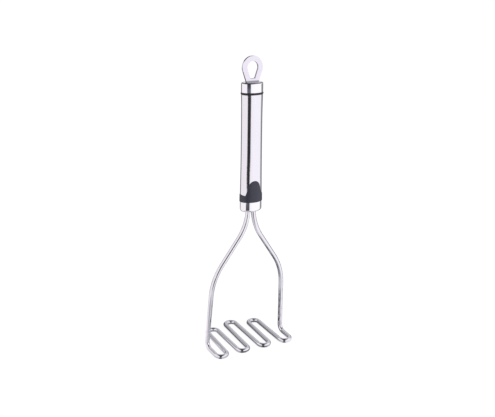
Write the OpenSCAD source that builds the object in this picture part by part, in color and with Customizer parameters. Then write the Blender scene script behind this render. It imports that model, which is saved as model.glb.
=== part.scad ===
// Wire potato masher: one bent rod makes the zigzag head, both arms and the tangs that
// sit in an oval steel handle with a moulded collar, a polished ferrule and an end cap
// that carries a flat hanging loop.
// Frame: origin under the middle of the head, +Z up the handle, -Y the front.

/* [Wire] */
// Rod diameter
wire_d = 4.5; // [3.5:0.1:5.5]
// Number of straight runs in the head
run_count = 8; // [6, 8, 10]
// Distance between the centres of neighbouring runs
run_pitch = 12; // [10:0.5:15]
// Bend radius at the end of each loop, to the rod's centre
loop_r = 5.6; // [4:0.1:6]
// Reach of the head, rod centre to rod centre, front to back
head_reach = 61.8; // [50:0.2:80]
// How far the inner front bends stay behind the outer ones
front_inner_step = 1.1; // [0:0.1:4]
// How far the outer back bends stay in front of the middle one
back_outer_step = 6.9; // [0:0.1:12]

/* [Arms] */
// Height of the point where the arms start to flare
flare_z = 129.4; // [120:0.2:140]
// Bend radius where the arms start to flare
flare_r = 54; // [20:1:70]
// Height of the shoulder, where the arms turn down again
shoulder_z = 75.6; // [65:0.2:85]
// Distance of the shoulder corner from the middle plane
shoulder_x = 38.4; // [34:0.2:40]
// Bend radius of the shoulder
shoulder_r = 64; // [20:1:70]
// Distance of the feet in front of the middle of the head
foot_front = 5.5; // [2:0.1:12]
// Bend radius of the feet
foot_r = 6; // [5:0.1:8]

/* [Handle] */
// Width across the end cap and the ferrule
handle_w = 21.3; // [19:0.1:25]
// Depth front to back across the end cap and the ferrule
handle_d = 14.9; // [13.5:0.1:18]
// Distance of the handle axis in front of the middle of the head
handle_front = 16; // [8:0.1:20]
// Length of the steel tube
tube_len = 100.3; // [90:0.1:120]
// Wall of the steel tube
tube_wall = 0.8; // [0.6:0.1:1.2]
// How much narrower than the cap the tube is at the seal ring
tube_top_less = 0.1; // [0:0.1:0.6]
// How much narrower than the cap the tube is at its waist
waist_less = 0.6; // [0.1:0.1:1.2]
// How much wider than the cap the tube is at its lower end
tube_low_more = 0.7; // [0:0.1:1]
// Height of the waist above the tube's lower end
waist_up = 76; // [50:1:85]

/* [Ferrule] */
// Height of the underside of the ferrule above the table
ferrule_z = 143.4; // [140:0.2:150]
// Height of the ferrule
ferrule_h = 9.7; // [8:0.1:12]
// How much wider than the cap the ferrule is
ferrule_more = 0.4; // [0:0.1:0.8]
// Wall of the ferrule
ferrule_wall = 0.8; // [0.6:0.1:1.2]
// Radius of the ferrule's lower edge
ferrule_r = 2.4; // [1:0.1:3]

/* [Collar] */
// Thickness of the collar over the steel
collar_t = 0.4; // [0.35:0.05:1.2]
// Thickness of the lip between the ferrule and the tube
lip_t = 1; // [0.8:0.1:2]
// Height of the band at the notches
band_h = 6.7; // [5:0.1:9]
// Rise of the band's edge from the notches to the sides
band_rise = 0.8; // [0:0.1:1.5]
// Height of the petals above the underside of the collar
petal_h = 21; // [18:0.1:26]
// Radius of the top of a petal
petal_r = 6; // [4.5:0.1:6.5]
// Angle between the sides of a petal and the handle axis
petal_taper = 16.5; // [12:0.5:18]
// Radius of the collar's edges
collar_edge = 0.3; // [0.1:0.05:0.4]

/* [Seal ring] */
// Height of the ring between the tube and the cap
seal_h = 2; // [1.2:0.1:2.4]
// Radial thickness of the ring
seal_t = 1.9; // [1.5:0.1:2.3]
// How far the ring stands out from the cap
seal_proud = 0.4; // [0.3:0.1:0.9]

/* [End cap] */
// Height of the cap
cap_h = 9; // [8:0.1:14]
// Wall of the cap
cap_wall = 1; // [0.8:0.1:1.4]
// Radius of the cap's top edge
cap_edge = 1.4; // [0.5:0.1:1.6]

/* [Hanging loop] */
// Thickness of the loop plate
loop_t = 2; // [1.5:0.1:2.5]
// Outer radius of the hanging loop
ring_r = 10.2; // [9:0.05:12]
// Radius of the eye
eye_r = 5.5; // [4.5:0.1:6.5]
// Height of the loop's centre above the cap
loop_up = 13.2; // [11:0.1:14]
// Angle at which the sides of the loop close towards the cap
loop_taper = 19; // [15:1:24]
// Thickness of the bar under the eye
eye_bar = 3.2; // [2:0.1:4]
// Width of the tail that passes through the cap
tail_w = 9; // [7:0.5:10]
// Length of the tail below the top of the cap
tail_len = 19.5; // [18:0.5:24]

/* [Plug and core] */
// Length of the plug below the seal ring
plug_len = 15; // [12:0.5:20]
// Height of the core above the underside of the collar
core_up = 37; // [30:1:45]
// Distance of the tangs from the middle plane
tang_x = 2.7; // [2.65:0.05:3.2]
// Solid roof of the core above the tangs
core_roof = 4; // [2:0.5:8]
// Diameter of the two cross pins
pin_d = 2.5; // [2:0.1:3]
// Distance of a cross pin from the end of what it holds
pin_end = 5; // [3.5:0.1:6]
// How far the ends of a cross pin stay below the surface of what carries it
pin_sink = 0.3; // [0.2:0.05:0.6]

/* [Fits] */
// Clearance all round between the plug or the core and the shells
shell_fit = 0.1; // [0.05:0.05:0.2]
// Clearance round the tangs, the tail and the pins
slip_fit = 0.05; // [0.02:0.01:0.1]
// Clearance round the rod in the ferrule's holes
hole_fit = 0.2; // [0.1:0.05:0.4]

/* [Hidden] */
$fn = 48;
// How far a cut runs past the face that it opens.
past = 1;
// A straight length of rod is thinner than its bends by this at the radius, and runs
// into them by joint_in, so that the two make one clean solid.
joint_step = 0.01;
joint_in = 0.05;

// Facets round each oval piece.
oval_n = 72;
// An oval keeps this difference between its half width and its half depth.
oval_diff = (handle_w - handle_d) / 2;
shell_hw = handle_w / 2;

wire_z = wire_d / 2;
head_w = (run_count - 1) * run_pitch;

ferrule_hw = (handle_w + ferrule_more) / 2;
tube_top_w = handle_w - tube_top_less;
waist_w = handle_w - waist_less;
tube_low_w = handle_w + tube_low_more;
collar_z = ferrule_z + ferrule_h;
tube_z = collar_z + lip_t;
tube_top = tube_z + tube_len;
cap_z = tube_top + seal_h;
cap_top = cap_z + cap_h;

core_z = ferrule_z + ferrule_wall;
core_top = collar_z + core_up;
tang_top = core_top - core_roof;
tang_pin_z = tang_top - pin_end;
tail_z = cap_top - tail_len;
loop_pin_z = tail_z + pin_end;
plug_z = tube_top - plug_len;
plug_top = cap_top - cap_wall - shell_fit;

// ---- Oval shapes ---------------------------------------------------------------------

// A point of an oval at an angle: 0 faces the front (-Y), 90 the +X side.
function oval_point(hw, angle, z) = [hw * sin(angle), -(hw - oval_diff) * cos(angle), z];

function even_angles(n = oval_n) = [for (i = [0 : n - 1]) 360 * i / n];

// Triangles between ring j and ring k, where each ring holds n points.
function band_faces(j, k, n) = [
    for (i = [0 : n - 1], half = [0, 1])
        let (next = (i + 1) % n)
        half == 0 ? [j * n + i, k * n + i, k * n + next]
                  : [j * n + i, k * n + next, j * n + next]
];

// Solid through rings of points that lie one over the other, closed by its first and last ring.
module stacked(rings) {
    n = len(rings[0]);
    last = len(rings) - 1;
    polyhedron(
        points = [for (ring = rings) each ring],
        faces = concat(
            [[for (i = [0 : n - 1]) i]],
            [for (j = [0 : last - 1]) each band_faces(j, j + 1, n)],
            [[for (i = [n - 1 : -1 : 0]) last * n + i]]
        )
    );
}

// Hollow solid whose last ring joins its first, such as a tube or a ring.
module looped(rings) {
    n = len(rings[0]);
    count = len(rings);
    polyhedron(
        points = [for (ring = rings) each ring],
        faces = [for (j = [0 : count - 1]) each band_faces(j, (j + 1) % count, n)]
    );
}

// Rings of an oval turned from a profile of [half width, height] points.
function turned(profile) = [for (p = profile) [for (a = even_angles()) oval_point(p[0], a, p[1])]];

// Quarter round from one angle to another, as profile points round a centre.
function round_edge(hw, z, r, from, to, steps = 4) = [
    for (i = [0 : steps])
        let (a = from + (to - from) * i / steps)
        [hw + r * cos(a), z + r * sin(a)]
];

module on_handle() {
    translate([0, -handle_front, 0]) children();
}

// ---- Handle shells -------------------------------------------------------------------

// Half width of the tube's outside at a height: two soft curves that meet at the waist.
function tube_hw(z) =
    let (
        up = z - tube_z - waist_up,
        end_w = up > 0 ? tube_top_w : tube_low_w,
        span = up > 0 ? tube_len - waist_up : waist_up
    )
    (waist_w + (end_w - waist_w) * pow(up / span, 2)) / 2;

module handle_tube() {
    outer_steps = 12;
    inner_steps = 6;
    color("silver") on_handle() looped(turned(concat(
        [for (i = [0 : outer_steps])
            let (z = tube_z + tube_len * i / outer_steps) [tube_hw(z), z]],
        [for (i = [inner_steps : -1 : 0])
            let (z = tube_z + tube_len * i / inner_steps) [tube_hw(z) - tube_wall, z]]
    )));
}

module bottom_ferrule() {
    inner = ferrule_hw - ferrule_wall;
    inner_r = max(ferrule_r - ferrule_wall, 0.2);
    color("gainsboro") on_handle() difference() {
        stacked(turned(concat(
            round_edge(inner - inner_r, core_z + inner_r, inner_r, -90, 0),
            [[inner, collar_z], [ferrule_hw, collar_z]],
            round_edge(ferrule_hw - ferrule_r, ferrule_z + ferrule_r, ferrule_r, 0, -90)
        )));
        for (side = [-1, 1])
            translate([side * tang_x, 0, ferrule_z - past])
                cylinder(d = wire_d + 2 * hole_fit, h = ferrule_wall + 2 * past);
    }
}

module end_cap() {
    inner = shell_hw - cap_wall;
    color("gainsboro") on_handle() difference() {
        stacked(turned(concat(
            [[inner, cap_top - cap_wall], [inner, cap_z], [shell_hw, cap_z]],
            round_edge(shell_hw - cap_edge, cap_top - cap_edge, cap_edge, 0, 90)
        )));
        translate([-tail_w / 2 - slip_fit, -loop_t / 2 - slip_fit, cap_top - cap_wall - past])
            cube([tail_w + 2 * slip_fit, loop_t + 2 * slip_fit, cap_wall + 2 * past]);
    }
}

module seal_ring() {
    outer = shell_hw + seal_proud;
    mid = outer - seal_t / 2;
    z = tube_top + seal_h / 2;
    color("dimgray") on_handle() looped(turned([
        for (a = [22.5 : 45 : 337.5])
            [mid + seal_t / 2 * cos(a) / cos(22.5), z + seal_h / 2 * sin(a) / sin(67.5)]
    ]));
}

// ---- Collar --------------------------------------------------------------------------

// Outline of a petal seen from the front: a round top on two straight sides.
function petal_z(x) =
    let (
        centre = collar_z + petal_h - petal_r,
        touch_x = petal_r * cos(petal_taper),
        touch_z = centre + petal_r * sin(petal_taper)
    )
    x < touch_x ? centre + sqrt(petal_r * petal_r - x * x)
                : touch_z - (x - touch_x) / tan(petal_taper);

// Distance from the middle plane at which a petal runs down to the band.
notch_x = petal_r * cos(petal_taper)
    + (petal_h - petal_r + petal_r * sin(petal_taper) - band_h) * tan(petal_taper);
notch_angle = asin(notch_x / (tube_hw(collar_z + band_h) + collar_t));

// Height of the collar's edge at an angle from the middle of a petal, 0 to 90.
function collar_edge_z(angle) =
    angle <= notch_angle
        ? petal_z(notch_x * sin(angle) / sin(notch_angle))
        : collar_z + band_h + band_rise * (angle - notch_angle) / (90 - notch_angle);

module grip_collar() {
    petal_steps = 14;
    band_steps = 5;
    quarter = concat(
        [for (i = [0 : petal_steps - 1]) notch_angle * i / petal_steps],
        [for (i = [0 : band_steps - 1]) notch_angle + (90 - notch_angle) * i / band_steps]
    );
    // Each entry holds the angle round the handle and the angle from the nearest petal.
    columns = concat(
        [for (a = quarter) [a, a]],
        [[90, 90]],
        [for (i = [len(quarter) - 1 : -1 : 1]) [180 - quarter[i], quarter[i]]],
        [for (a = quarter) [180 + a, a]],
        [[270, 90]],
        [for (i = [len(quarter) - 1 : -1 : 1]) [360 - quarter[i], quarter[i]]]
    );
    bore = ferrule_hw - ferrule_wall - shell_fit + slip_fit;
    levels = 4;
    // One closed section at an edge height, as [half width, height] points.
    function section(edge) = concat(
        [[bore, collar_z],
         [tube_hw(collar_z) + collar_t - collar_edge, collar_z]],
        [for (i = [0 : levels])
            let (
                low = collar_z + collar_edge,
                z = low + (edge - collar_edge - low) * i / levels
            )
            [tube_hw(z) + collar_t, z]],
        [[tube_hw(edge) + collar_t - collar_edge, edge]],
        [for (i = [levels : -1 : 0])
            let (z = tube_z + (edge - tube_z) * i / levels)
            [tube_hw(z) + slip_fit, z]],
        [[bore, tube_z]]
    );
    count = len(section(tube_z + band_h));
    color("dimgray") on_handle() looped([
        for (j = [0 : count - 1])
            [for (c = columns)
                let (p = section(collar_edge_z(c[1]))[j])
                oval_point(p[0], c[0], p[1])]
    ]);
}

// ---- Hanging loop and its plug -------------------------------------------------------

// Outline that closes from a round head to a straight foot on two tangents.
module teardrop(r, centre_z, foot_z) {
    arc_steps = 60;
    rise = r * sin(loop_taper);
    foot_x = r * cos(loop_taper) - (centre_z - rise - foot_z) * tan(loop_taper);
    polygon(concat(
        [for (i = [0 : arc_steps])
            let (a = -loop_taper + (180 + 2 * loop_taper) * i / arc_steps)
            [r * cos(a), centre_z + r * sin(a)]],
        [[-foot_x, foot_z], [foot_x, foot_z]]
    ));
}

module hanging_loop() {
    centre = cap_top + loop_up;
    color("lightgray") on_handle() difference() {
        translate([0, loop_t / 2, 0]) rotate([90, 0, 0]) linear_extrude(loop_t) {
            difference() {
                teardrop(ring_r, centre, cap_top);
                teardrop(eye_r, centre, cap_top + eye_bar);
            }
            translate([-tail_w / 2, tail_z]) square([tail_w, tail_len + eye_bar / 2]);
        }
        translate([0, loop_t / 2 + past, loop_pin_z]) rotate([90, 0, 0])
            cylinder(d = pin_d + 2 * slip_fit, h = loop_t + 2 * past);
    }
}

// Half width of the plug inside the tube, whose bore widens towards its end.
plug_hw = min(tube_hw(tube_top), tube_hw(plug_z)) - tube_wall - shell_fit;

module cap_plug() {
    in_cap = shell_hw - cap_wall - shell_fit;
    neck = shell_hw + seal_proud - seal_t - slip_fit;
    lead = 0.6;
    color("darkslategray") on_handle() difference() {
        stacked(turned([
            [plug_hw - lead, plug_z], [plug_hw, plug_z + lead],
            [plug_hw, tube_top], [neck, tube_top],
            [neck, cap_z], [in_cap, cap_z],
            [in_cap, plug_top]
        ]));
        translate([-tail_w / 2 - slip_fit, -loop_t / 2 - slip_fit, tail_z - slip_fit])
            cube([tail_w + 2 * slip_fit, loop_t + 2 * slip_fit, tail_len + past]);
        translate([0, shell_hw, loop_pin_z]) rotate([90, 0, 0])
            cylinder(d = pin_d + 2 * slip_fit, h = handle_w);
    }
}

module loop_pin() {
    half = plug_hw - oval_diff - pin_sink;
    color("darkgray") on_handle() translate([0, half, loop_pin_z]) rotate([90, 0, 0])
        cylinder(d = pin_d, h = 2 * half);
}

// ---- Core and its pin ----------------------------------------------------------------

module tang_core() {
    in_ferrule = ferrule_hw - ferrule_wall - shell_fit;
    corner = max(ferrule_r - ferrule_wall, 0.2);
    color("darkslategray") on_handle() difference() {
        stacked(turned([
            [in_ferrule - corner, core_z], [in_ferrule, core_z + corner],
            [in_ferrule, tube_z],
            for (i = [0 : 3])
                let (z = tube_z + (core_top - tube_z) * i / 3)
                [tube_hw(z) - tube_wall - shell_fit, z + (i == 0 ? slip_fit : 0)]
        ]));
        for (side = [-1, 1])
            translate([side * tang_x, 0, core_z - past])
                cylinder(d = wire_d + 2 * slip_fit, h = tang_top + slip_fit - core_z + past);
        translate([-shell_hw, 0, tang_pin_z]) rotate([0, 90, 0])
            cylinder(d = pin_d + 2 * slip_fit, h = handle_w);
    }
}

module tang_pin() {
    half = tube_hw(tang_pin_z) - tube_wall - shell_fit - pin_sink;
    color("darkgray") on_handle() translate([-half, 0, tang_pin_z]) rotate([0, 90, 0])
        cylinder(d = pin_d, h = 2 * half);
}

// ---- Bent wire -----------------------------------------------------------------------

function unit(v) = v / norm(v);
function across(v) = unit(cross(abs(v[2]) < 0.9 ? [0, 0, 1] : [1, 0, 0], v));

// Matrix that puts the X and Y axes of a shape along x and y, with its origin at p.
function frame_at(p, x, y) =
    let (z = cross(x, y))
    [[x[0], y[0], z[0], p[0]], [x[1], y[1], z[1], p[1]], [x[2], y[2], z[2], p[2]], [0, 0, 0, 1]];

// A bend is [centre, start point, direction of travel at the start, turn].
function bend_finish(b) =
    b[0] + (b[1] - b[0]) * cos(b[3]) + b[2] * norm(b[1] - b[0]) * sin(b[3]);

// Bend of radius r that rounds the corner between two legs.
function corner_bend(before, corner, after, r) =
    let (
        back = unit(before - corner),
        on = unit(after - corner),
        turn = 180 - acos(back * on)
    )
    [corner + unit(back + on) * r / cos(turn / 2), corner + back * r * tan(turn / 2), -back, turn];

// Rod of diameter d from one end to the other through a list of bends.
module bent_rod(first, bends, last, d) {
    for (b = bends) {
        r = norm(b[1] - b[0]);
        multmatrix(frame_at(b[0], unit(b[1] - b[0]), b[2]))
            rotate_extrude(angle = b[3]) translate([r, 0]) circle(d = d);
    }
    count = len(bends);
    for (i = [0 : count]) {
        from = i == 0 ? first : bend_finish(bends[i - 1]);
        to = i == count ? last : bends[i][1];
        along = unit(to - from);
        into_from = i == 0 ? 0 : joint_in;
        into_to = i == count ? 0 : joint_in;
        multmatrix(frame_at(from - along * into_from, across(along), cross(along, across(along))))
            cylinder(r = d / 2 - joint_step, h = norm(to - from) + into_from + into_to);
    }
}

// Centre of each loop's bend. Even loops lie at the front and odd ones at the back.
loop_count = run_count - 1;
loop_centres = [
    for (i = [0 : loop_count - 1])
        let (
            outer_front = i == 0 || i == loop_count - 1,
            outer_back = i == 1 || i == loop_count - 2,
            reach = head_reach / 2 - loop_r,
            y = i % 2 == 0 ? -reach + (outer_front ? 0 : front_inner_step)
                           : reach - (outer_back ? back_outer_step : 0)
        )
        [(i - (loop_count - 1) / 2) * run_pitch, y, wire_z]
];

function foot_corner(side) = [side * head_w / 2, -foot_front, wire_z];

// Heading of the run that leads into loop i, as an angle from +X. Each run is the straight
// line that touches the bends at its two ends.
function heading(i) =
    let (
        from = i == 0 ? foot_corner(-1) : loop_centres[i - 1],
        to = i == loop_count ? foot_corner(1) : loop_centres[i],
        offset = i == 0 || i == loop_count ? loop_r : 2 * loop_r,
        lean = asin(offset / norm(to - from))
    )
    atan2(to[1] - from[1], to[0] - from[0]) + (i % 2 == 0 && i < loop_count ? -lean : lean);

function head_bends() = [
    for (i = [0 : loop_count - 1])
        let (
            left = i % 2 == 0 ? 1 : -1,
            a = heading(i),
            start = loop_centres[i] + left * loop_r * [sin(a), -cos(a), 0]
        )
        [loop_centres[i], start, [cos(a), sin(a), 0], left * (heading(i + 1) - a)]
];

// The arms lean back in one straight line from the flare to the feet.
function lean_y(z) =
    -handle_front + (handle_front - foot_front) * (flare_z - z) / (flare_z - wire_z);

// Bends of one arm, from the flare down to the foot, where after is the next point on the run.
function arm_bends(side, after) =
    let (
        tang = [side * tang_x, -handle_front, tang_top],
        flare = [side * tang_x, -handle_front, flare_z],
        shoulder = [side * shoulder_x, lean_y(shoulder_z), shoulder_z],
        foot = foot_corner(side)
    )
    [corner_bend(tang, flare, shoulder, flare_r),
     corner_bend(flare, shoulder, foot, shoulder_r),
     corner_bend(shoulder, foot, after, foot_r)];

// The same bends travelled the other way.
function backwards(bends) = [
    for (i = [len(bends) - 1 : -1 : 0])
        let (b = bends[i], r = norm(b[1] - b[0]))
        [b[0], bend_finish(b), unit(b[1] - b[0]) * sin(b[3]) - b[2] * cos(b[3]), b[3]]
];

module masher_wire() {
    color("silver") difference() {
        union() {
            head = head_bends();
            bent_rod(
                [-tang_x, -handle_front, tang_top],
                concat(arm_bends(-1, head[0][1]), head,
                       backwards(arm_bends(1, bend_finish(head[loop_count - 1])))),
                [tang_x, -handle_front, tang_top],
                wire_d
            );
        }
        on_handle() translate([-shell_hw, 0, tang_pin_z]) rotate([0, 90, 0])
            cylinder(d = pin_d + 2 * slip_fit, h = handle_w);
    }
}

masher_wire();
bottom_ferrule();
grip_collar();
handle_tube();
seal_ring();
end_cap();
hanging_loop();
cap_plug();
loop_pin();
tang_core();
tang_pin();
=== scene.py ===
import math

import bmesh
import bpy
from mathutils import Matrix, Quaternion, Vector

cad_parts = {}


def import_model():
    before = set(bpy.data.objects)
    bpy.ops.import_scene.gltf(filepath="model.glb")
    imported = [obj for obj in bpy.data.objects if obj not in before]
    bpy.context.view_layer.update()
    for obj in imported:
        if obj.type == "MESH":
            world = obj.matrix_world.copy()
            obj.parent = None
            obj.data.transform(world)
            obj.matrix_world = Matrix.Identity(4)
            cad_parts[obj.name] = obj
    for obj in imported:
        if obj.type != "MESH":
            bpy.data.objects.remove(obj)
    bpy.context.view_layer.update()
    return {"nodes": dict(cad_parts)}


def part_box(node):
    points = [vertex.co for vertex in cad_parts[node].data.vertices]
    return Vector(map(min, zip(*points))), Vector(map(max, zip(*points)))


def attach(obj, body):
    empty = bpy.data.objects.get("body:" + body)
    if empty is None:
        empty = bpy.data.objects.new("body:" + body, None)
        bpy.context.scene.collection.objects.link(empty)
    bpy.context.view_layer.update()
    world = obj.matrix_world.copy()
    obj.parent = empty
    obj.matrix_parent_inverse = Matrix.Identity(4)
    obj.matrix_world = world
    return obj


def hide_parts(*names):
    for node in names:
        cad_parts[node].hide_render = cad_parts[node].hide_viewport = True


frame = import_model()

# Wire potato masher. One bent steel rod makes the zigzag head and both arms. Its tangs
# sit in an oval steel handle: a polished ferrule, a moulded black collar, a satin tube,
# a rubber ring and a polished cap that carries a flat hanging loop.
# The origin is on the table under the middle of the head, +Z runs up the handle and -Y
# is the front. Lengths are in metres, written as millimetres times MM.

MM = 0.001
# Heights that differ by less than this are the same height.
TINY = 0.01 * MM

# ---- Camera --------------------------------------------------------------------------

VIEW_FROM = Vector((-316.0, -606.55, 370.65)) * MM
VIEW_AT = Vector((-2.63, -14.6, 144.8)) * MM
# The lens and the sensor's width are in millimetres.
LENS = 53.87
SENSOR = 36
ROLL = math.radians(0.64)


def camera():
    bpy.ops.object.camera_add(location=VIEW_FROM)
    eye = bpy.context.object
    eye.name = "camera"
    eye.data.lens = LENS
    eye.data.sensor_width = SENSOR
    eye.data.clip_start = 10 * MM
    eye.rotation_mode = "QUATERNION"
    aim = (VIEW_AT - VIEW_FROM).to_track_quat("-Z", "Y")
    eye.rotation_quaternion = aim @ Quaternion((0, 0, 1), ROLL)
    bpy.context.scene.camera = eye


# ---- Sizes ---------------------------------------------------------------------------

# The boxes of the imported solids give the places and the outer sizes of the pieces.
CAP_LOW, CAP_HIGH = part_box("end_cap")
TUBE_LOW, TUBE_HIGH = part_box("handle_tube")
FERRULE_LOW, FERRULE_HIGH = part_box("bottom_ferrule")
COLLAR_LOW, COLLAR_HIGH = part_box("grip_collar")
SEAL_LOW, SEAL_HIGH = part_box("seal_ring")
LOOP_LOW, LOOP_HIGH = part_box("hanging_loop")

# Rod: the head and its loops. Inner front bends and outer back bends are stepped in.
ROD_R = 2.25 * MM
RUNS = 8
RUN_PITCH = 12 * MM
LOOP_R = 5.6 * MM
HEAD_REACH = 61.8 * MM
FRONT_INNER_STEP = 1.1 * MM
BACK_OUTER_STEP = 6.9 * MM
# Rod: the arms and the tangs.
FLARE_Z = 129.4 * MM
FLARE_R = 54 * MM
SHOULDER_X = 38.4 * MM
SHOULDER_Z = 75.6 * MM
SHOULDER_R = 64 * MM
FOOT_FRONT = 5.5 * MM
FOOT_R = 6 * MM
TANG_X = 2.7 * MM
TANG_TOP = 186.1 * MM

# Handle: every oval has the same axis, and the same difference between half its width
# and half its depth. A HALF is half the width of an oval.
AXIS_Y = (CAP_LOW.y + CAP_HIGH.y) / 2
CAP_HALF = CAP_HIGH.x
OVAL_DIFF = CAP_HALF - (CAP_HIGH.y - CAP_LOW.y) / 2
FERRULE_HALF = FERRULE_HIGH.x
FERRULE_WALL = 0.8 * MM
FERRULE_EDGE_R = 2.4 * MM
ROD_HOLE_R = ROD_R + 0.2 * MM
CAP_WALL = 1 * MM
CAP_EDGE_R = 1.4 * MM
SEAL_T = 1.9 * MM
TUBE_LOW_HALF = TUBE_HIGH.x
TUBE_TOP_HALF = 10.6 * MM
WAIST_HALF = 10.35 * MM
WAIST_UP = 76 * MM
TUBE_WALL = 0.8 * MM
# The cut rims of the steel are eased by this radius.
RIM_R = 0.12 * MM

# Collar: its petals with round tops, the band between them, and its skin, which lies a
# little off the tube.
PETAL_R = 6 * MM
PETAL_TAPER = math.radians(16.5)
BAND_H = 6.7 * MM
BAND_RISE = 0.8 * MM
COLLAR_BORE = 10 * MM
COLLAR_T = 0.4 * MM
COLLAR_EDGE_R = 0.3 * MM
SKIN_GAP = 0.05 * MM
SKIN_OUT = TUBE_LOW_HALF + COLLAR_T
SKIN_IN = TUBE_LOW_HALF + SKIN_GAP
# Height of the skin before its edge is shaped.
PLAIN_H = 8 * MM

# Hanging loop.
RING_R = LOOP_HIGH.x
EYE_R = 5.5 * MM
EYE_BAR = 3.2 * MM
LOOP_TAPER = math.radians(19)
LOOP_T = LOOP_HIGH.y - LOOP_LOW.y
TAIL_W = 9 * MM
SLOT_GAP = 0.05 * MM

# Facets round a shell, the collar, the rod and the loop, and the turn of one step of a
# bend.
SHELL_FACETS = 128
COLLAR_FACETS = 192
ROD_FACETS = 32
LOOP_FACETS = 360
BEND_STEP = math.radians(5)
# Two faces that turn by more than this, in radians, meet at a sharp edge.
SHARP = 0.7


# ---- Modelling helpers ---------------------------------------------------------------


def named(name):
    """The object just added, named, with its place, turn and scale put into its mesh."""
    bpy.ops.object.transform_apply(location=True, rotation=True, scale=True)
    piece = bpy.context.object
    piece.name = name
    piece.data.name = name
    return piece


def opened(name):
    """The object just added, named and open for editing with all of it selected."""
    piece = named(name)
    bpy.ops.object.mode_set(mode="EDIT")
    bpy.ops.mesh.select_all(action="SELECT")
    return piece


def pick(kind, test):
    """Selects the vertices, edges or faces in edit that pass a test."""
    bpy.ops.mesh.select_mode(type=kind)
    bpy.ops.mesh.select_all(action="DESELECT")
    data = bpy.context.object.data
    mesh = bmesh.from_edit_mesh(data)
    parts = {"VERT": mesh.verts, "EDGE": mesh.edges, "FACE": mesh.faces}[kind]
    for part in parts:
        if test(part):
            part.select_set(True)
    mesh.select_flush_mode()
    bmesh.update_edit_mesh(data)


def flat_at(z):
    """A test for an edge or a face that lies level at a height."""
    return lambda part: all(abs(vert.co.z - z) < TINY for vert in part.verts)


def sharp(edge):
    return edge.calc_face_angle() > SHARP


def rim_at(*heights):
    """A test for the sharp edges that lie level at any of some heights."""
    return lambda edge: any(flat_at(z)(edge) for z in heights) and sharp(edge)


def oval_share(vert, half):
    """How far a vertex lies from the handle's axis, as a share of an oval's reach there."""
    return math.hypot(vert.co.x / half, (vert.co.y - AXIS_Y) / (half - OVAL_DIFF))


def on_oval(vert, half):
    """True for a vertex on an oval, to a thousandth of its reach."""
    return abs(oval_share(vert, half) - 1) < 0.001


def push(step):
    """Extrudes what is selected."""
    bpy.ops.mesh.extrude_region_move(TRANSFORM_OT_translate={"value": step})


def stretch(factors, centre):
    """Scales what is selected."""
    bpy.ops.transform.resize(value=factors, center_override=centre)


def round_off(radius, segments=2):
    """Rounds the selected edges."""
    bpy.ops.mesh.bevel(offset=radius, segments=segments, affect="EDGES", clamp_overlap=True)


def oval(name, half, z, fill="NOTHING", count=SHELL_FACETS):
    """An oval ring round the handle's axis, open for editing."""
    centre = (0, AXIS_Y, z)
    bpy.ops.mesh.primitive_circle_add(
        vertices=count, radius=half, fill_type=fill, location=centre
    )
    piece = opened(name)
    stretch((1, (half - OVAL_DIFF) / half, 1), centre)
    return piece


def grow(half, new_half, z, new_z):
    """Extrudes the selected oval to another height and half width."""
    push((0, 0, new_z - z))
    wider = new_half / half
    deeper = (new_half - OVAL_DIFF) / (half - OVAL_DIFF)
    stretch((wider, deeper, 1), (0, AXIS_Y, new_z))


def turned(name, profile, count=SHELL_FACETS):
    """An oval ring whose wall follows a closed profile of (half width, height)."""
    piece = oval(name, *profile[0], count=count)
    for (half, z), (new_half, new_z) in zip(profile, profile[1:] + profile[:1]):
        grow(half, new_half, z, new_z)
    return piece


def tidy_mesh():
    """Merges doubles and turns every face outwards."""
    bpy.ops.mesh.select_mode(type="VERT")
    bpy.ops.mesh.select_all(action="SELECT")
    bpy.ops.mesh.remove_doubles(threshold=TINY / 10)
    bpy.ops.mesh.normals_make_consistent(inside=False)


def modify(piece, kind, **settings):
    """Adds a modifier and applies it."""
    change = piece.modifiers.new(kind, kind)
    for name, setting in settings.items():
        setattr(change, name, setting)
    bpy.context.view_layer.objects.active = piece
    bpy.ops.object.modifier_apply(modifier=change.name)


def cut(piece, cutter):
    """Takes one closed shape out of another."""
    modify(piece, "BOOLEAN", operation="DIFFERENCE", solver="EXACT", object=cutter)
    bpy.data.objects.remove(cutter)


def finished(piece, node, finish, smooth=35):
    """Closes a piece, shades it smooth up to an angle in degrees, stands it for its CAD
    node and gives it its finish."""
    if piece.mode == "EDIT":
        tidy_mesh()
        bpy.ops.object.mode_set(mode="OBJECT")
    bpy.ops.object.select_all(action="DESELECT")
    piece.select_set(True)
    bpy.context.view_layer.objects.active = piece
    bpy.ops.object.shade_smooth_by_angle(angle=math.radians(smooth))
    modify(piece, "WEIGHTED_NORMAL", keep_sharp=True)
    piece.data.materials.clear()
    piece.data.materials.append(finish)
    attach(piece, "root")
    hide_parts(node)


# ---- Rod -----------------------------------------------------------------------------


class Bend:
    """One bend of the rod: its centre, where it starts, which way the rod runs there,
    and how far it turns."""

    def __init__(self, centre, start, along, turn):
        self.centre = centre
        self.start = start
        self.along = along
        self.turn = turn

    def arm(self):
        return self.start - self.centre

    def axis(self):
        return self.arm().cross(self.along).normalized()

    def swung(self, vector):
        return Quaternion(self.axis(), self.turn) @ vector

    def end(self):
        return self.centre + self.swung(self.arm())

    def backwards(self):
        return Bend(self.centre, self.end(), -self.swung(self.along), self.turn)


def corner(before, at, after, radius):
    """The bend that rounds a corner between two straight legs."""
    back = (before - at).normalized()
    ahead = (after - at).normalized()
    turn = math.pi - back.angle(ahead)
    inward = (back + ahead).normalized()
    centre = at + inward * radius / math.cos(turn / 2)
    return Bend(centre, at + back * radius * math.tan(turn / 2), -back, turn)


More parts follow.
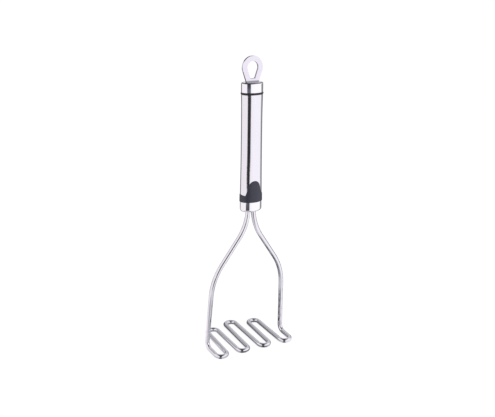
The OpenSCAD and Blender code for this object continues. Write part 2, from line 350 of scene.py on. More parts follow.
def loop_centres():
    """Centres of the head's loops. Even ones lie at the front and odd ones at the back."""
    last = RUNS - 2
    reach = HEAD_REACH / 2 - LOOP_R
    centres = []
    for i in range(RUNS - 1):
        if i % 2 == 0:
            y = -reach + (0 if i in (0, last) else FRONT_INNER_STEP)
        else:
            y = reach - (BACK_OUTER_STEP if i in (1, last - 1) else 0)
        centres.append(Vector(((i - last / 2) * RUN_PITCH, y, ROD_R)))
    return centres


def foot_corner(side):
    return Vector((side * (RUNS - 1) * RUN_PITCH / 2, -FOOT_FRONT, ROD_R))


def tang_end(side):
    return Vector((side * TANG_X, AXIS_Y, TANG_TOP))


def head_bends():
    """Each run of the head is the straight line that touches the bends at its ends."""
    centres = loop_centres()
    stops = [foot_corner(-1), *centres, foot_corner(1)]
    headings = []
    for i, (start, stop) in enumerate(zip(stops, stops[1:])):
        gap = stop - start
        crossing = LOOP_R if i in (0, RUNS - 1) else 2 * LOOP_R
        lean = math.asin(crossing / gap.length)
        turns_left = i % 2 == 0 and i < RUNS - 1
        headings.append(math.atan2(gap.y, gap.x) + (-lean if turns_left else lean))
    bends = []
    for i, centre in enumerate(centres):
        left = 1 if i % 2 == 0 else -1
        heading, next_heading = headings[i : i + 2]
        out = Vector((math.sin(heading), -math.cos(heading), 0)) * left
        along = Vector((math.cos(heading), math.sin(heading), 0))
        turn = left * (next_heading - heading)
        bends.append(Bend(centre, centre + out * LOOP_R, along, turn))
    return bends


def arm_bends(side, after):
    """Bends of an arm, from its flare under the ferrule down to its foot. The whole arm
    leans in one plane."""
    foot = foot_corner(side)
    lean = (foot.y - AXIS_Y) / (FLARE_Z - ROD_R)
    shoulder_y = AXIS_Y + lean * (FLARE_Z - SHOULDER_Z)
    flare = Vector((side * TANG_X, AXIS_Y, FLARE_Z))
    shoulder = Vector((side * SHOULDER_X, shoulder_y, SHOULDER_Z))
    return [
        corner(tang_end(side), flare, shoulder, FLARE_R),
        corner(flare, shoulder, foot, SHOULDER_R),
        corner(shoulder, foot, after, FOOT_R),
    ]


def masher_wire(finish):
    """Pushes a circle along the straight lengths and spins it round the bends."""
    head = head_bends()
    left = arm_bends(-1, head[0].start)
    right = arm_bends(1, head[-1].end())
    bends = [*left, *head, *(bend.backwards() for bend in reversed(right))]
    here = tang_end(-1)
    bpy.ops.mesh.primitive_circle_add(
        vertices=ROD_FACETS, radius=ROD_R, fill_type="NOTHING", location=here
    )
    rod = opened("bent_rod")
    for bend in bends:
        push(bend.start - here)
        bpy.ops.mesh.spin(
            steps=max(6, math.ceil(bend.turn / BEND_STEP)),
            angle=-bend.turn,
            center=bend.centre,
            axis=bend.axis(),
        )
        here = bend.end()
    push(tang_end(1) - here)
    pick("EDGE", flat_at(TANG_TOP))
    bpy.ops.mesh.edge_face_add()
    finished(rod, "masher_wire", finish, smooth=50)


# ---- Handle shells -------------------------------------------------------------------


def tube_half(z):
    """Half width of the tube's outside at a height: two soft curves meet at the waist."""
    up = z - TUBE_LOW.z - WAIST_UP
    if up > 0:
        end_half = TUBE_TOP_HALF
        span = TUBE_HIGH.z - TUBE_LOW.z - WAIST_UP
    else:
        end_half = TUBE_LOW_HALF
        span = WAIST_UP
    return WAIST_HALF + (end_half - WAIST_HALF) * (up / span) ** 2


def handle_tube(finish):
    """A tube drawn in short steps, then given its wall and its eased rims."""
    tube = oval("steel_tube", TUBE_LOW_HALF, TUBE_LOW.z)
    steps = 30
    rise = (TUBE_HIGH.z - TUBE_LOW.z) / steps
    heights = [TUBE_LOW.z + rise * i for i in range(steps + 1)]
    for z, new_z in zip(heights, heights[1:]):
        grow(tube_half(z), tube_half(new_z), z, new_z)
    tidy_mesh()
    bpy.ops.object.mode_set(mode="OBJECT")
    modify(tube, "SOLIDIFY", thickness=TUBE_WALL, offset=-1)
    bpy.ops.object.mode_set(mode="EDIT")
    pick("EDGE", rim_at(TUBE_LOW.z, TUBE_HIGH.z))
    round_off(RIM_R)
    finished(tube, "handle_tube", finish)
    return tube


def drawn_cup(name, half, closed_z, open_z, wall, edge_r):
    """An oval cup with a round edge at its closed end and an eased rim at its open one."""
    depth = open_z - closed_z
    cup = oval(name, half, closed_z, fill="NGON")
    push((0, 0, depth))
    bpy.ops.mesh.inset(thickness=wall)
    push((0, 0, math.copysign(wall, depth) - depth))
    tidy_mesh()
    pick("EDGE", flat_at(closed_z))
    round_off(edge_r, segments=8)
    pick("EDGE", rim_at(open_z))
    round_off(RIM_R)
    tidy_mesh()
    bpy.ops.object.mode_set(mode="OBJECT")
    return cup


def bottom_ferrule(finish):
    """A cup with a hole for each side of the rod in its floor."""
    ferrule = drawn_cup(
        "ferrule", FERRULE_HALF, FERRULE_LOW.z, FERRULE_HIGH.z, FERRULE_WALL, FERRULE_EDGE_R
    )
    for side in (-1, 1):
        bpy.ops.mesh.primitive_cylinder_add(
            vertices=48,
            radius=ROD_HOLE_R,
            depth=6 * MM,
            location=(side * TANG_X, AXIS_Y, FERRULE_LOW.z),
        )
        cut(ferrule, named("drill"))
    finished(ferrule, "bottom_ferrule", finish)


def end_cap(finish):
    """A cup upside down, with a slot for the hanging loop's tail in its roof."""
    cap = drawn_cup("cap", CAP_HALF, CAP_HIGH.z, CAP_LOW.z, CAP_WALL, CAP_EDGE_R)
    bpy.ops.mesh.primitive_cube_add(size=1, location=(0, AXIS_Y, CAP_HIGH.z))
    bpy.context.object.scale = (TAIL_W + 2 * SLOT_GAP, LOOP_T + 2 * SLOT_GAP, 4 * MM)
    cut(cap, named("slot"))
    finished(cap, "end_cap", finish)


def seal_ring(finish):
    """A ring with an elliptic section."""
    mid_half = SEAL_HIGH.x - SEAL_T / 2
    mid_z = (SEAL_LOW.z + SEAL_HIGH.z) / 2
    up = (SEAL_HIGH.z - SEAL_LOW.z) / 2
    steps = 20
    turns = [math.tau * i / steps for i in range(steps)]
    profile = [
        (mid_half + SEAL_T / 2 * math.cos(turn), mid_z + up * math.sin(turn))
        for turn in turns
    ]
    ring = turned("seal", profile)
    finished(ring, "seal_ring", finish, smooth=60)


# ---- Collar --------------------------------------------------------------------------


def petal_z(x):
    """Height of a petal's outline above the collar's underside, at a distance from the
    middle: a round top on two straight sides."""
    centre = COLLAR_HIGH.z - COLLAR_LOW.z - PETAL_R
    touch_x = PETAL_R * math.cos(PETAL_TAPER)
    touch_z = centre + PETAL_R * math.sin(PETAL_TAPER)
    if x < touch_x:
        return centre + math.sqrt(PETAL_R**2 - x**2)
    return touch_z - (x - touch_x) / math.tan(PETAL_TAPER)


def collar_edge_z(across):
    """Height of the collar's edge, where across runs from 0 at the middle of a petal to 1
    at the side of the handle."""
    straight_h = COLLAR_HIGH.z - COLLAR_LOW.z - PETAL_R * (1 - math.sin(PETAL_TAPER)) - BAND_H
    notch_x = PETAL_R * math.cos(PETAL_TAPER) + straight_h * math.tan(PETAL_TAPER)
    notch = notch_x / (tube_half(COLLAR_LOW.z + BAND_H) + COLLAR_T)
    if across <= notch:
        return petal_z(notch_x * across / notch)
    share = (math.asin(across) - math.asin(notch)) / (math.pi / 2 - math.asin(notch))
    return BAND_H + BAND_RISE * share


def plain_collar():
    """A lip under the tube and, round the tube, a skin of one height in a few rows."""
    lip = TUBE_LOW.z
    rows = 4
    heights = [lip + PLAIN_H * i / rows for i in range(rows + 1)]
    profile = [(COLLAR_BORE, lip), (COLLAR_BORE, COLLAR_LOW.z), (SKIN_OUT, COLLAR_LOW.z)]
    profile += [(SKIN_OUT, z) for z in heights]
    profile += [(SKIN_IN, z) for z in reversed(heights)]
    collar = turned("collar", profile, count=COLLAR_FACETS)
    tidy_mesh()
    return collar


def in_skin(vert):
    return vert.co.z > TUBE_LOW.z + TINY


def skin_column(vert):
    """Which column of the skin a vertex is in, from 0 at a petal's middle."""
    half = SKIN_OUT if on_oval(vert, SKIN_OUT) else SKIN_IN
    across = abs(vert.co.x) / half
    deep = abs(vert.co.y - AXIS_Y) / (half - OVAL_DIFF)
    return round(math.atan2(across, deep) / math.tau * COLLAR_FACETS)


def shape_edge():
    """Stretches each column of the plain skin, so that it ends at the collar's edge."""
    lip = TUBE_LOW.z
    for i in range(COLLAR_FACETS // 4 + 1):
        pick("VERT", lambda vert: in_skin(vert) and skin_column(vert) == i)
        edge_z = COLLAR_LOW.z + collar_edge_z(math.sin(math.tau * i / COLLAR_FACETS))
        stretch((1, 1, (edge_z - lip) / PLAIN_H), (0, AXIS_Y, lip))


def wrap_skin(collar, tube):
    """Lays both faces of the skin along the tube, which flares."""
    skin = {"outside": (SKIN_OUT, COLLAR_T), "inside": (SKIN_IN, SKIN_GAP)}
    for name, (half, gap) in skin.items():
        verts = collar.data.vertices
        face = [vert.index for vert in verts if in_skin(vert) and on_oval(vert, half)]
        collar.vertex_groups.new(name=name).add(face, 1, "REPLACE")
    for name, (half, gap) in skin.items():
        modify(
            collar,
            "SHRINKWRAP",
            target=tube,
            wrap_method="NEAREST_SURFACEPOINT",
            wrap_mode="ABOVE_SURFACE",
            offset=gap,
            vertex_group=name,
        )
    collar.vertex_groups.clear()


def outer_edge(edge):
    """True for a sharp edge on the collar's outside."""
    return sharp(edge) and all(
        oval_share(vert, tube_half(vert.co.z) + COLLAR_T / 2) > 1 for vert in edge.verts
    )


def grip_collar(finish, tube):
    collar = plain_collar()
    shape_edge()
    bpy.ops.object.mode_set(mode="OBJECT")
    wrap_skin(collar, tube)
    bpy.ops.object.mode_set(mode="EDIT")
    pick("EDGE", outer_edge)
    round_off(COLLAR_EDGE_R, segments=4)
    finished(collar, "grip_collar", finish, smooth=50)


# ---- Hanging loop --------------------------------------------------------------------


def teardrop_sizes(radius, foot_z):
    """Where a teardrop's round head meets its straight sides, and half its foot's width."""
    touch_x = radius * math.cos(LOOP_TAPER)
    touch_z = LOOP_HIGH.z - RING_R - radius * math.sin(LOOP_TAPER)
    foot_half = touch_x - (touch_z - foot_z) * math.tan(LOOP_TAPER)
    return touch_x, touch_z, foot_half


def teardrop(name, radius, foot_z):
    """An outline that closes from a round head to a straight foot on two tangents."""
    touch_x, touch_z, foot_half = teardrop_sizes(radius, foot_z)
    bpy.ops.mesh.primitive_circle_add(
        vertices=LOOP_FACETS,
        radius=radius,
        fill_type="NOTHING",
        location=(0, LOOP_LOW.y, LOOP_HIGH.z - RING_R),
        rotation=(math.pi / 2, 0, 0),
    )
    outline = opened(name)
    pick("VERT", lambda vert: vert.co.z < touch_z - TINY)
    bpy.ops.mesh.delete(type="VERT")
    for side in (-1, 1):
        pick("VERT", lambda vert: abs(vert.co.z - touch_z) < TINY and vert.co.x * side > 0)
        push((side * (foot_half - touch_x), 0, foot_z - touch_z))
    pick("VERT", lambda vert: abs(vert.co.z - foot_z) < TINY)
    bpy.ops.mesh.edge_face_add()
    bpy.ops.object.mode_set(mode="OBJECT")
    return outline


def hanging_loop(finish, edge_finish):
    """A plate between two teardrops. Its foot steps in and runs down as the tail."""
    foot_z = CAP_HIGH.z
    eye = teardrop("eye", EYE_R, foot_z + EYE_BAR)
    loop = teardrop("hanger", RING_R, foot_z)
    eye.select_set(True)
    loop.select_set(True)
    bpy.context.view_layer.objects.active = loop
    bpy.ops.object.join()
    bpy.ops.object.mode_set(mode="EDIT")
    bpy.ops.mesh.select_all(action="SELECT")
    bpy.ops.mesh.bridge_edge_loops()
    bpy.ops.mesh.select_all(action="SELECT")
    push((0, LOOP_T, 0))
    tidy_mesh()
    pick("FACE", flat_at(foot_z))
    push((0, 0, 0))
    foot_half = teardrop_sizes(RING_R, foot_z)[2]
    stretch((TAIL_W / 2 / foot_half, 1, 1), (0, AXIS_Y, foot_z))
    push((0, 0, LOOP_LOW.z - foot_z))
    tidy_mesh()
    pick("EDGE", sharp)
    round_off(RIM_R)
    finished(loop, "hanging_loop", finish)
    loop.data.materials.append(edge_finish)
    for face in loop.data.polygons:
        if abs(face.normal.y) < 0.5:
            face.material_index = 1


# ---- Shaders -------------------------------------------------------------------------


class Value:
    """A number or a colour in a shader. Sums written with it add their Math nodes."""

    def __init__(self, shader, socket):
        self.shader = shader
        self.socket = socket

    def maths(self, operation, *terms):
        return self.shader.node("Math", dict(enumerate(terms)), operation=operation)

    def __add__(self, other):
        return self.maths("ADD", self, other)

    def __sub__(self, other):
        return self.maths("SUBTRACT", self, other)

    def __rsub__(self, other):
        return self.maths("SUBTRACT", other, self)

    def __mul__(self, other):
        return self.maths("MULTIPLY", self, other)

    def __truediv__(self, other):
        return self.maths("DIVIDE", self, other)

    def __pow__(self, other):
        return self.maths("POWER", self, other)

    __radd__ = __add__
    __rmul__ = __mul__

    def cosine(self):
        return self.maths("COSINE", self)

    def rise(self, low, high):
        """0 below low, 1 above high, and a smooth rise between."""
        ends = {0: self, 1: low, 2: high}
        return self.shader.node("MapRange", ends, interpolation_type="SMOOTHSTEP")

    def blend(self, low, high):
        """One colour turning into another while the value goes from 0 to 1."""
        ends = {0: self, 6: low, 7: high}
        return self.shader.node("Mix", ends, out=2, data_type="RGBA")


class Shader:
    """The nodes of one material, or of the world."""

    def __init__(self, owner):
        owner.use_nodes = True
        self.tree = owner.node_tree
        self.tree.nodes.clear()

    def node(self, kind, sockets=None, out=0, **settings):
        """Adds a node, sets it, and fills its sockets with values or links."""
        made = self.tree.nodes.new("ShaderNode" + kind)
        for name, setting in settings.items():
            setattr(made, name, setting)
        for name, value in (sockets or {}).items():
            socket = made.inputs[name]
            if isinstance(value, Value):
                self.tree.links.new(value.socket, socket)
            elif socket.type == "RGBA":
                socket.default_value = (*value, 1)
            else:
                socket.default_value = value
        return Value(self, made.outputs[out]) if made.outputs else None

    def axes(self, place):
        """The x, y and z of a place."""
        split = self.node("SeparateXYZ", {0: place}).socket.node
        return [Value(self, output) for output in split.outputs]


class Finish(Shader):
    """A material of the object. What varies over it follows grain at each place."""

    def __init__(self, name):
        self.material = bpy.data.materials.new(name)
        super().__init__(self.material)
        self.place = self.node("TexCoord", out="Object")

    def grain(self, size, stretch=(1, 1, 1), detail=2):
        """Noise with features of about a size, drawn out along an axis."""
        scale = tuple(1 / (size * factor) for factor in stretch)
        put = self.node("Mapping", {"Vector": self.place, "Scale": scale})
        return self.node("TexNoise", {"Vector": put, "Scale": 1, "Detail": detail})

    def done(self, colour, metallic, roughness, bump, strength):
        """The material with all its values joined."""
        relief = {"Strength": strength, "Distance": 0.02 * MM, "Height": bump}
        surface = {
            "Base Color": colour,
            "Metallic": metallic,
            "Roughness": roughness,
            "Normal": self.node("Bump", relief),
        }
        self.node("OutputMaterial", {"Surface": self.node("BsdfPrincipled", surface)})
        return self.material


# ---- Finishes ------------------------------------------------------------------------


def bright_rod():
    """Rod polished after bending: near mirror, with a faint haze from the wheel."""
    rod = Finish("bright_rod")
    return rod.done(
        colour=rod.grain(9 * MM).blend((0.78, 0.77, 0.80), (0.86, 0.85, 0.88)),
        metallic=1.0,
        roughness=rod.grain(4 * MM) * 0.05 + 0.045,
        bump=rod.grain(0.6 * MM),
        strength=0.03,
    )


def mirror_steel():
    """Polished shell of the ferrule and the cap. A dark band is painted on the cap's rounded
    rim: a painted dark reflection."""
    steel = Finish("mirror_steel")
    wall = steel.grain(12 * MM).blend((0.90, 0.90, 0.91), (0.94, 0.94, 0.95))
    z = steel.axes(steel.place)[2]
    # Painted dark reflection: a near-black band on the cap's rounded rim.
    rim = z.rise(CAP_HIGH.z - 1.0 * MM, CAP_HIGH.z - 0.7 * MM)
    rim = rim * (1 - z.rise(CAP_HIGH.z - 0.15 * MM, CAP_HIGH.z - 0.05 * MM))
    return steel.done(
        colour=rim.blend(wall, (0.14, 0.14, 0.165)),
        metallic=1.0,
        roughness=steel.grain(3 * MM) * 0.05 + 0.02,
        bump=steel.grain(1.5 * MM),
        strength=0.03,
    )


def satin_steel():
    """Tube drawn through a fine belt: hairlines run its whole length."""
    steel = Finish("satin_steel")
    along = (1, 1, 60)
    hairlines = steel.grain(0.35 * MM, along, detail=3)
    return steel.done(
        colour=hairlines.blend((0.80, 0.79, 0.82), (0.89, 0.88, 0.91)),
        metallic=1.0,
        roughness=steel.grain(0.5 * MM, along, detail=3) * 0.06 + 0.06,
        bump=steel.grain(0.18 * MM, along),
        strength=0.04,
    )


def stamped_steel():
    """Plate of the hanging loop: tumbled faces, with painted shade where the plate enters the
    cap.
    """
    plate = Finish("stamped_steel")
    faces = plate.grain(5 * MM, detail=3).blend((0.80, 0.77, 0.83), (0.85, 0.82, 0.88))
    z = plate.axes(plate.place)[2]
    # Painted shade: the colour darkens just above the cap's top, where the plate enters the
    # cap.
    unshaded = z.rise(CAP_HIGH.z + 0.6 * MM, CAP_HIGH.z + 1.8 * MM)
    return plate.done(
        colour=unshaded.blend((0.34, 0.33, 0.36), faces),
        metallic=1.0,
        roughness=plate.grain(0.5 * MM) * 0.10 + 0.20,
        bump=plate.grain(0.12 * MM),
        strength=0.06,
    )


def sheared_steel():
    """Blanked edges of the loop: rougher and darker than its faces, with a painted highlight
    at the sides, a painted dark reflection at the top and painted shade from the foot of the
    eye down."""
    edges = Finish("sheared_steel")
    across = (1, 12, 1)
    x, _, z = edges.axes(edges.place)
    top_z = LOOP_HIGH.z
    foot_z = CAP_HIGH.z + EYE_BAR
    colour = edges.grain(0.3 * MM, across).blend((0.29, 0.29, 0.31), (0.44, 0.435, 0.46))
    # Painted highlight: the side edges of the ring are made near white.
    sides = (x * x).rise((7 * MM) ** 2, (8 * MM) ** 2)
    sides = sides * z.rise(top_z - 16 * MM, top_z - 13 * MM)
    colour = sides.blend(colour, (0.92, 0.90, 0.95))
    # Painted dark reflection: the top edges are made near black.
    top = z.rise(top_z - 5.4 * MM, top_z - 3.8 * MM)
    colour = top.blend(colour, (0.045, 0.045, 0.05))
    # Painted shade: the edges are near black from the foot of the eye down.
    above_foot = z.rise(foot_z + 0.3 * MM, foot_z + 1.4 * MM)
    colour = above_foot.blend((0.02, 0.02, 0.022), colour)
    return edges.done(
        colour=colour,
        metallic=1.0,
        roughness=edges.grain(0.3 * MM, across) * 0.15 + 0.25,
        bump=edges.grain(0.15 * MM, across),
        strength=0.3,
    )


def plain_pin():
    """Drawn steel of the hidden cross pins."""
    pin = Finish("drawn_pin")
    return pin.done(
        colour=pin.grain(1 * MM).blend((0.50, 0.50, 0.52), (0.62, 0.62, 0.64)),
        metallic=1.0,
        roughness=pin.grain(0.8 * MM) * 0.1 + 0.25,
        bump=pin.grain(0.2 * MM),
        strength=0.2,
    )


def soft_black():
    """Moulded collar: fine spark-eroded grain and a soft sheen."""
    plastic = Finish("soft_black")
    return plastic.done(
        colour=plastic.grain(3 * MM).blend((0.020, 0.022, 0.037), (0.030, 0.032, 0.053)),
        metallic=0.0,
        roughness=plastic.grain(0.4 * MM, detail=4) * 0.14 + 0.32,
        bump=plastic.grain(0.10 * MM, detail=3),
        strength=0.35,
    )


def ring_rubber():
    """Matt black rubber of the seal ring."""
    rubber = Finish("ring_rubber")
    return rubber.done(
        colour=rubber.grain(1 * MM).blend((0.009, 0.009, 0.015), (0.016, 0.016, 0.024)),
        metallic=0.0,
        roughness=rubber.grain(0.5 * MM) * 0.15 + 0.45,
        bump=rubber.grain(0.15 * MM),
        strength=0.2,
    )


def inner_plastic():
    """Moulding of the hidden plug and core."""
    plastic = Finish("inner_plastic")
    return plastic.done(
        colour=plastic.grain(2 * MM).blend((0.042, 0.042, 0.046), (0.058, 0.058, 0.064)),
        metallic=0.0,
        roughness=plastic.grain(0.4 * MM) * 0.15 + 0.5,
        bump=plastic.grain(0.2 * MM),
        strength=0.3,
    )


# ---- What steel sees -----------------------------------------------------------------

# Two level directions: towards the camera, and to its right.
VIEW_TURN = math.atan2(VIEW_FROM.x - VIEW_AT.x, VIEW_AT.y - VIEW_FROM.y)
TOWARDS = (math.sin(VIEW_TURN), -math.cos(VIEW_TURN))
RIGHT = (math.cos(VIEW_TURN), math.sin(VIEW_TURN))


class Spot:
    """A place round the object. Its reach is how far out it lies. Its side runs from -1 at
    the left to 1 at the right, and its facing from -1 behind to 1 towards the camera."""

    def __init__(self, shader, coordinates):
        self.x, self.y, self.z = shader.axes(shader.node("TexCoord", out=coordinates))
        self.right = self.x * RIGHT[0] + self.y * RIGHT[1]
        self.reach = (self.x * self.x + self.y * self.y) ** 0.5
        self.side = self.right / self.reach
        self.facing = (self.x * TOWARDS[0] + self.y * TOWARDS[1]) / self.reach

    def behind(self, low, high):
        """0 in front of the object and 1 behind it, with a smooth rise between."""
        return (0 - self.facing).rise(low, high)


def lens_gap(spot, shift, half):
    """1 in a gap towards the camera that has a shift to the right and a half width, and
    0 beside it."""
    off = spot.side - shift
    beside = (off * off).rise((0.8 * half) ** 2, (1.2 * half) ** 2)
    return (1 - beside) * spot.facing.rise(0, 0.1)


def soft_oval(spot, centre, size, fade, climb=0):
    """1 inside an oval on the floor and 0 outside it. It fades between two shares of its
    size, and its long side climbs by a share of x."""
    across = (spot.x - centre[0]) / size[0]
    along = (spot.y - centre[1] - (spot.x - centre[0]) * climb) / size[1]
    return 1 - ((across * across + along * along) ** 0.5).rise(*fade)


def pale_wall(spot):
    """The pale wall all round, brightest at the right, and a greyer backdrop behind."""
    wall = spot.side.rise(-0.3, 0.3).blend((1.0, 0.95, 1.0), (1.0, 0.96, 1.02))
    wall = spot.side.rise(0.25, 0.75).blend(wall, (1.08, 1.05, 1.12))
    backdrop = spot.side.rise(-0.8, 0.0).blend((0.38, 0.38, 0.40), (0.68, 0.67, 0.70))
    return spot.behind(0.35, 0.65).blend(wall, backdrop)


def grey_behind(spot):
    """The dark grey low behind the object, which pales again at its right end."""
    grey = spot.side.rise(0.1, 0.5).blend((0.15, 0.15, 0.165), (0.10, 0.10, 0.115))
    return spot.side.rise(0.66, 0.80).blend(grey, (0.35, 0.35, 0.37))


def seen_in_steel(shader, look, plain, white):
    """Steel and glass see one thing, the camera another, and soft light a third."""
    glossy = shader.node("LightPath", out="Is Glossy Ray")
    through = shader.node("LightPath", out="Is Transmission Ray")
    from_camera = shader.node("LightPath", out="Is Camera Ray")
    light = shader.node("MixShader", {0: from_camera, 1: plain, 2: white})
    return shader.node("MixShader", {0: glossy + through, 1: light, 2: look})


def world():
    """The wall, with the dark gap that the lens looks through, under a dark ceiling."""
    scene = bpy.context.scene
    scene.world = bpy.data.worlds.new("light_tent")
    shader = Shader(scene.world)
    spot = Spot(shader, "Generated")
    high = spot.z.rise(0.05, 0.15)
    gap = lens_gap(spot, shift=0, half=0.24) * (1 - high)
    gap = gap + lens_gap(spot, shift=0, half=0.32) * high
    gap_colour = high.blend((0.09, 0.10, 0.13), (0.03, 0.035, 0.045))
    ceiling_z = 0.84 + spot.facing.rise(0.75, 0.90) * 0.03
    ceiling = (spot.z - ceiling_z).rise(0, 0.05)
    seen = gap.blend(pale_wall(spot), gap_colour)
    seen = ceiling.blend(seen, (0.05, 0.05, 0.062))
    look = shader.node("Background", {"Color": seen, "Strength": 1.0})
    plain = shader.node("Background", {"Color": (1, 1, 1), "Strength": 0.85})
    white = shader.node("Background", {"Color": (1, 1, 1), "Strength": 1.0})
    shader.node("OutputWorld", {"Surface": seen_in_steel(shader, look, plain, white)})


# The next six paint the floor as steel sees it. Each lays one thing over what is seen.


def near_ground(spot, seen):
    """A grey ground in front of the head: paler from the middle on, dark at the right."""
    from_middle = spot.side.rise(-0.25, 0.05)
    grey = spot.reach.rise(0.08, 0.10).blend((0.66, 0.66, 0.71), (0.50, 0.50, 0.55))
    paler = from_middle * spot.reach.rise(0.060, 0.072)
    grey = paler.blend(grey, (0.80, 0.80, 0.84))
    dark = spot.reach.rise(0.065, 0.085).blend((0.36, 0.36, 0.40), (0.62, 0.62, 0.66))
    grey = spot.side.rise(0.35, 0.60).blend(grey, dark)
    far = (spot.reach + from_middle * 0.03).rise(0.13, 0.17)
    near = lens_gap(spot, shift=0.04, half=0.80) * (1 - far)
    return near.blend(seen, grey)


def gap_on_floor(spot, seen):
    """The lens gap on the floor. The ferrule sees its near end, the tube its narrower and
    darker middle, and the cap its far end."""
    reach = spot.reach
    in_tube = reach.rise(0.49, 0.52) * (1 - reach.rise(1.35, 1.45))
    narrowing = in_tube * (1 - reach.rise(0.60, 0.655)) * 0.07
    shift = in_tube * (reach.rise(0.70, 0.80) * 0.08 + 0.02) + narrowing
    tube_gap = lens_gap(spot, shift, half=0.25 - narrowing)
    gap = lens_gap(spot, shift, half=0.29) * (1 - in_tube * (1 - tube_gap))
    near = reach.rise(0.40, 0.50).blend((0.06, 0.06, 0.075), (0.12, 0.12, 0.15))
    near = reach.rise(0.14, 0.26).blend((0.30, 0.30, 0.33), near)
    far = reach.rise(1.50, 1.68).blend((0.14, 0.145, 0.19), (0.05, 0.055, 0.07))
    ends = reach.rise(1.0, 1.1).blend(near, far)
    colour = in_tube.blend(ends, (0.035, 0.035, 0.038))
    return (gap * reach.rise(0.11, 0.20)).blend(seen, colour)


def ground_behind(spot, seen):
    """The dark grey behind the object, down to the floor under the head."""
    behind = spot.behind(0.25, 0.50) * spot.reach.rise(0.03, 0.045)
    return behind.blend(seen, grey_behind(spot))


def arm_marks(spot, seen):
    """Three dark marks in front of the head, which the right arm mirrors."""
    climb = 0.39
    dark = (0.04, 0.04, 0.045)
    spread = soft_oval(spot, (10 * MM, -64 * MM), (11 * MM, 13 * MM), fade=(0.6, 1.4))
    band = soft_oval(spot, (-11 * MM, -43.69 * MM), (15 * MM, 7 * MM), (0.7, 1.3), climb)
    haze = soft_oval(spot, (-12 * MM, -37.68 * MM), (14 * MM, 12 * MM), (0.7, 1.3), climb)
    seen = spread.blend(seen, (0.24, 0.24, 0.26))
    seen = band.blend(seen, dark)
    return (haze * 0.7).blend(seen, dark)


def head_shade(spot, seen):
    """The head's own shade, with a strip of light between each two runs."""
    wave = ((spot.x - 3.3 * MM) * (math.tau / RUN_PITCH)).cosine()
    strips = (wave * 0.5 + 0.5) ** 4
    light = spot.x.rise(-35 * MM, -10 * MM).blend((0.42, 0.42, 0.44), (0.75, 0.75, 0.77))
    light = spot.x.rise(12 * MM, 40 * MM).blend(light, (0.28, 0.28, 0.30))
    under = soft_oval(spot, (8 * MM, 4 * MM), (46 * MM, 38 * MM), fade=(0.5, 1.4))
    return under.blend(seen, strips.blend((0.035, 0.035, 0.04), light))


def front_bars(spot, seen):
    """A dark bar before each front bend, which the bend mirrors. The bars run towards the
    camera."""
    bar_pitch = 2 * RUN_PITCH * RIGHT[0]
    wave = ((spot.right - 0.7 * MM) * (math.tau / bar_pitch)).cosine()
    out = 0 - spot.y
    before_head = out.rise(28 * MM, 31 * MM) * (1 - out.rise(45 * MM, 55 * MM))
    return (wave.rise(0.78, 0.93) * before_head).blend(seen, (0.05, 0.055, 0.07))


# ---- Stage ---------------------------------------------------------------------------

FLOOR_SIZE = 16
# The floor lies a hair under the object, so that the two never share a place.
FLOOR_DROP = 0.02 * MM

def stage_sheet(name, place, size, turn=(0, 0, 0)):
    """A flat sheet that isn't part of the object."""
    bpy.ops.mesh.primitive_plane_add(size=1, location=place, rotation=turn)
    bpy.context.object.scale = (*size, 1)
    sheet = named(name)
    return sheet


def painted(sheet, name):
    """The shader of a sheet's own material."""
    material = bpy.data.materials.new(name)
    sheet.data.materials.append(material)
    return Shader(material)


def floor():
    """White to the camera, with the object's soft shadow, and painted for the steel."""
    sheet = stage_sheet("floor", (0, 0, -FLOOR_DROP), (FLOOR_SIZE, FLOOR_SIZE))
    shader = painted(sheet, "white_floor")
    spot = Spot(shader, "Object")
    seen = pale_wall(spot)
    for paint in (near_ground, gap_on_floor, ground_behind, arm_marks, head_shade, front_bars):
        seen = paint(spot, seen)
    look = shader.node("Emission", {"Color": seen, "Strength": 1.0})
    bright = shader.node("Emission", {"Color": (1, 1, 1), "Strength": 1.03})
    lit = shader.node("BsdfDiffuse", {"Color": (0.95, 0.95, 0.95)})
    # How much of the floor's white takes no shadow.
    plain_share = 0.92
    shown = shader.node("MixShader", {0: plain_share, 1: lit, 2: bright})
    shader.node("OutputMaterial", {"Surface": seen_in_steel(shader, look, lit, shown)})


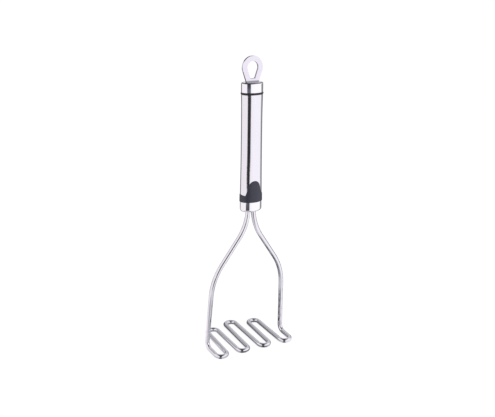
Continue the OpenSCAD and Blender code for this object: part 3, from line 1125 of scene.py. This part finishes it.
def card(name, shade, size, away, right, z, level=False):
    """A card that only the object's reflections show. It stands a distance behind the
    object and to its right, square to the camera, unless it lies level."""
    x = RIGHT[0] * right - TOWARDS[0] * away
    y = RIGHT[1] * right - TOWARDS[1] * away
    turn = (0 if level else math.pi / 2, 0, VIEW_TURN)
    sheet = stage_sheet(name, (x, y, z), size, turn)
    sheet.visible_camera = False
    sheet.visible_diffuse = False
    sheet.visible_shadow = False
    shader = painted(sheet, name)
    colour = shade(Spot(shader, "Object"))
    glow = shader.node("Emission", {"Color": colour, "Strength": 1.0})
    shader.node("OutputMaterial", {"Surface": glow})


def wide_shade(spot):
    """Dark ends, which the handle's sides mirror, and a pale middle for the rod."""
    middle = spot.side.rise(-0.45, -0.2) * (1 - spot.side.rise(0.28, 0.42))
    return middle.blend(grey_behind(spot), (0.66, 0.65, 0.68))


def small_shade(spot):
    """Pale, with a black foot."""
    pale = spot.side.rise(-0.88, -0.70).blend((0.54, 0.53, 0.56), (0.43, 0.425, 0.45))
    return spot.z.rise(0.02, 0.08).blend((0.05, 0.05, 0.055), pale)


def lid_shade(spot):
    """Near black all over."""
    return (0.06, 0.06, 0.07)


def cards():
    """A wide card behind the object, a small one at the left of the head, and a black lid
    above and in front of the handle."""
    card("wide_card", wide_shade, (2.6, 0.19), away=0.5, right=0.3, z=0.095)
    card("small_card", small_shade, (0.195, 0.104), away=0.088, right=-0.1475, z=0.052)
    card("black_lid", lid_shade, (0.34, 0.22), away=-0.19, right=0, z=0.38, level=True)


def lamp():
    """A weak soft lamp in front and to the right, which steel doesn't see."""
    bpy.ops.object.light_add(type="AREA", location=(0.5, -0.5, 0.9))
    soft = bpy.context.object
    soft.name = "soft_lamp"
    soft.data.size = 0.6
    soft.data.energy = 3
    soft.rotation_euler = (soft.location * -1).to_track_quat("-Z", "Y").to_euler()
    soft.visible_glossy = False


# ---- The whole scene -----------------------------------------------------------------


def dress():
    """The visible pieces with their finishes, and the finishes of the hidden solids."""
    steel = mirror_steel()
    masher_wire(bright_rod())
    tube = handle_tube(satin_steel())
    bottom_ferrule(steel)
    end_cap(steel)
    seal_ring(ring_rubber())
    grip_collar(soft_black(), tube)
    hanging_loop(stamped_steel(), sheared_steel())
    plastic = inner_plastic()
    pin = plain_pin()
    hidden = {"cap_plug": plastic, "tang_core": plastic, "loop_pin": pin, "tang_pin": pin}
    for name, finish in hidden.items():
        solid = frame["nodes"][name].data
        solid.materials.clear()
        solid.materials.append(finish)


camera()
world()
floor()
cards()
lamp()
dress()
bpy.context.scene.view_settings.view_transform = "Standard"
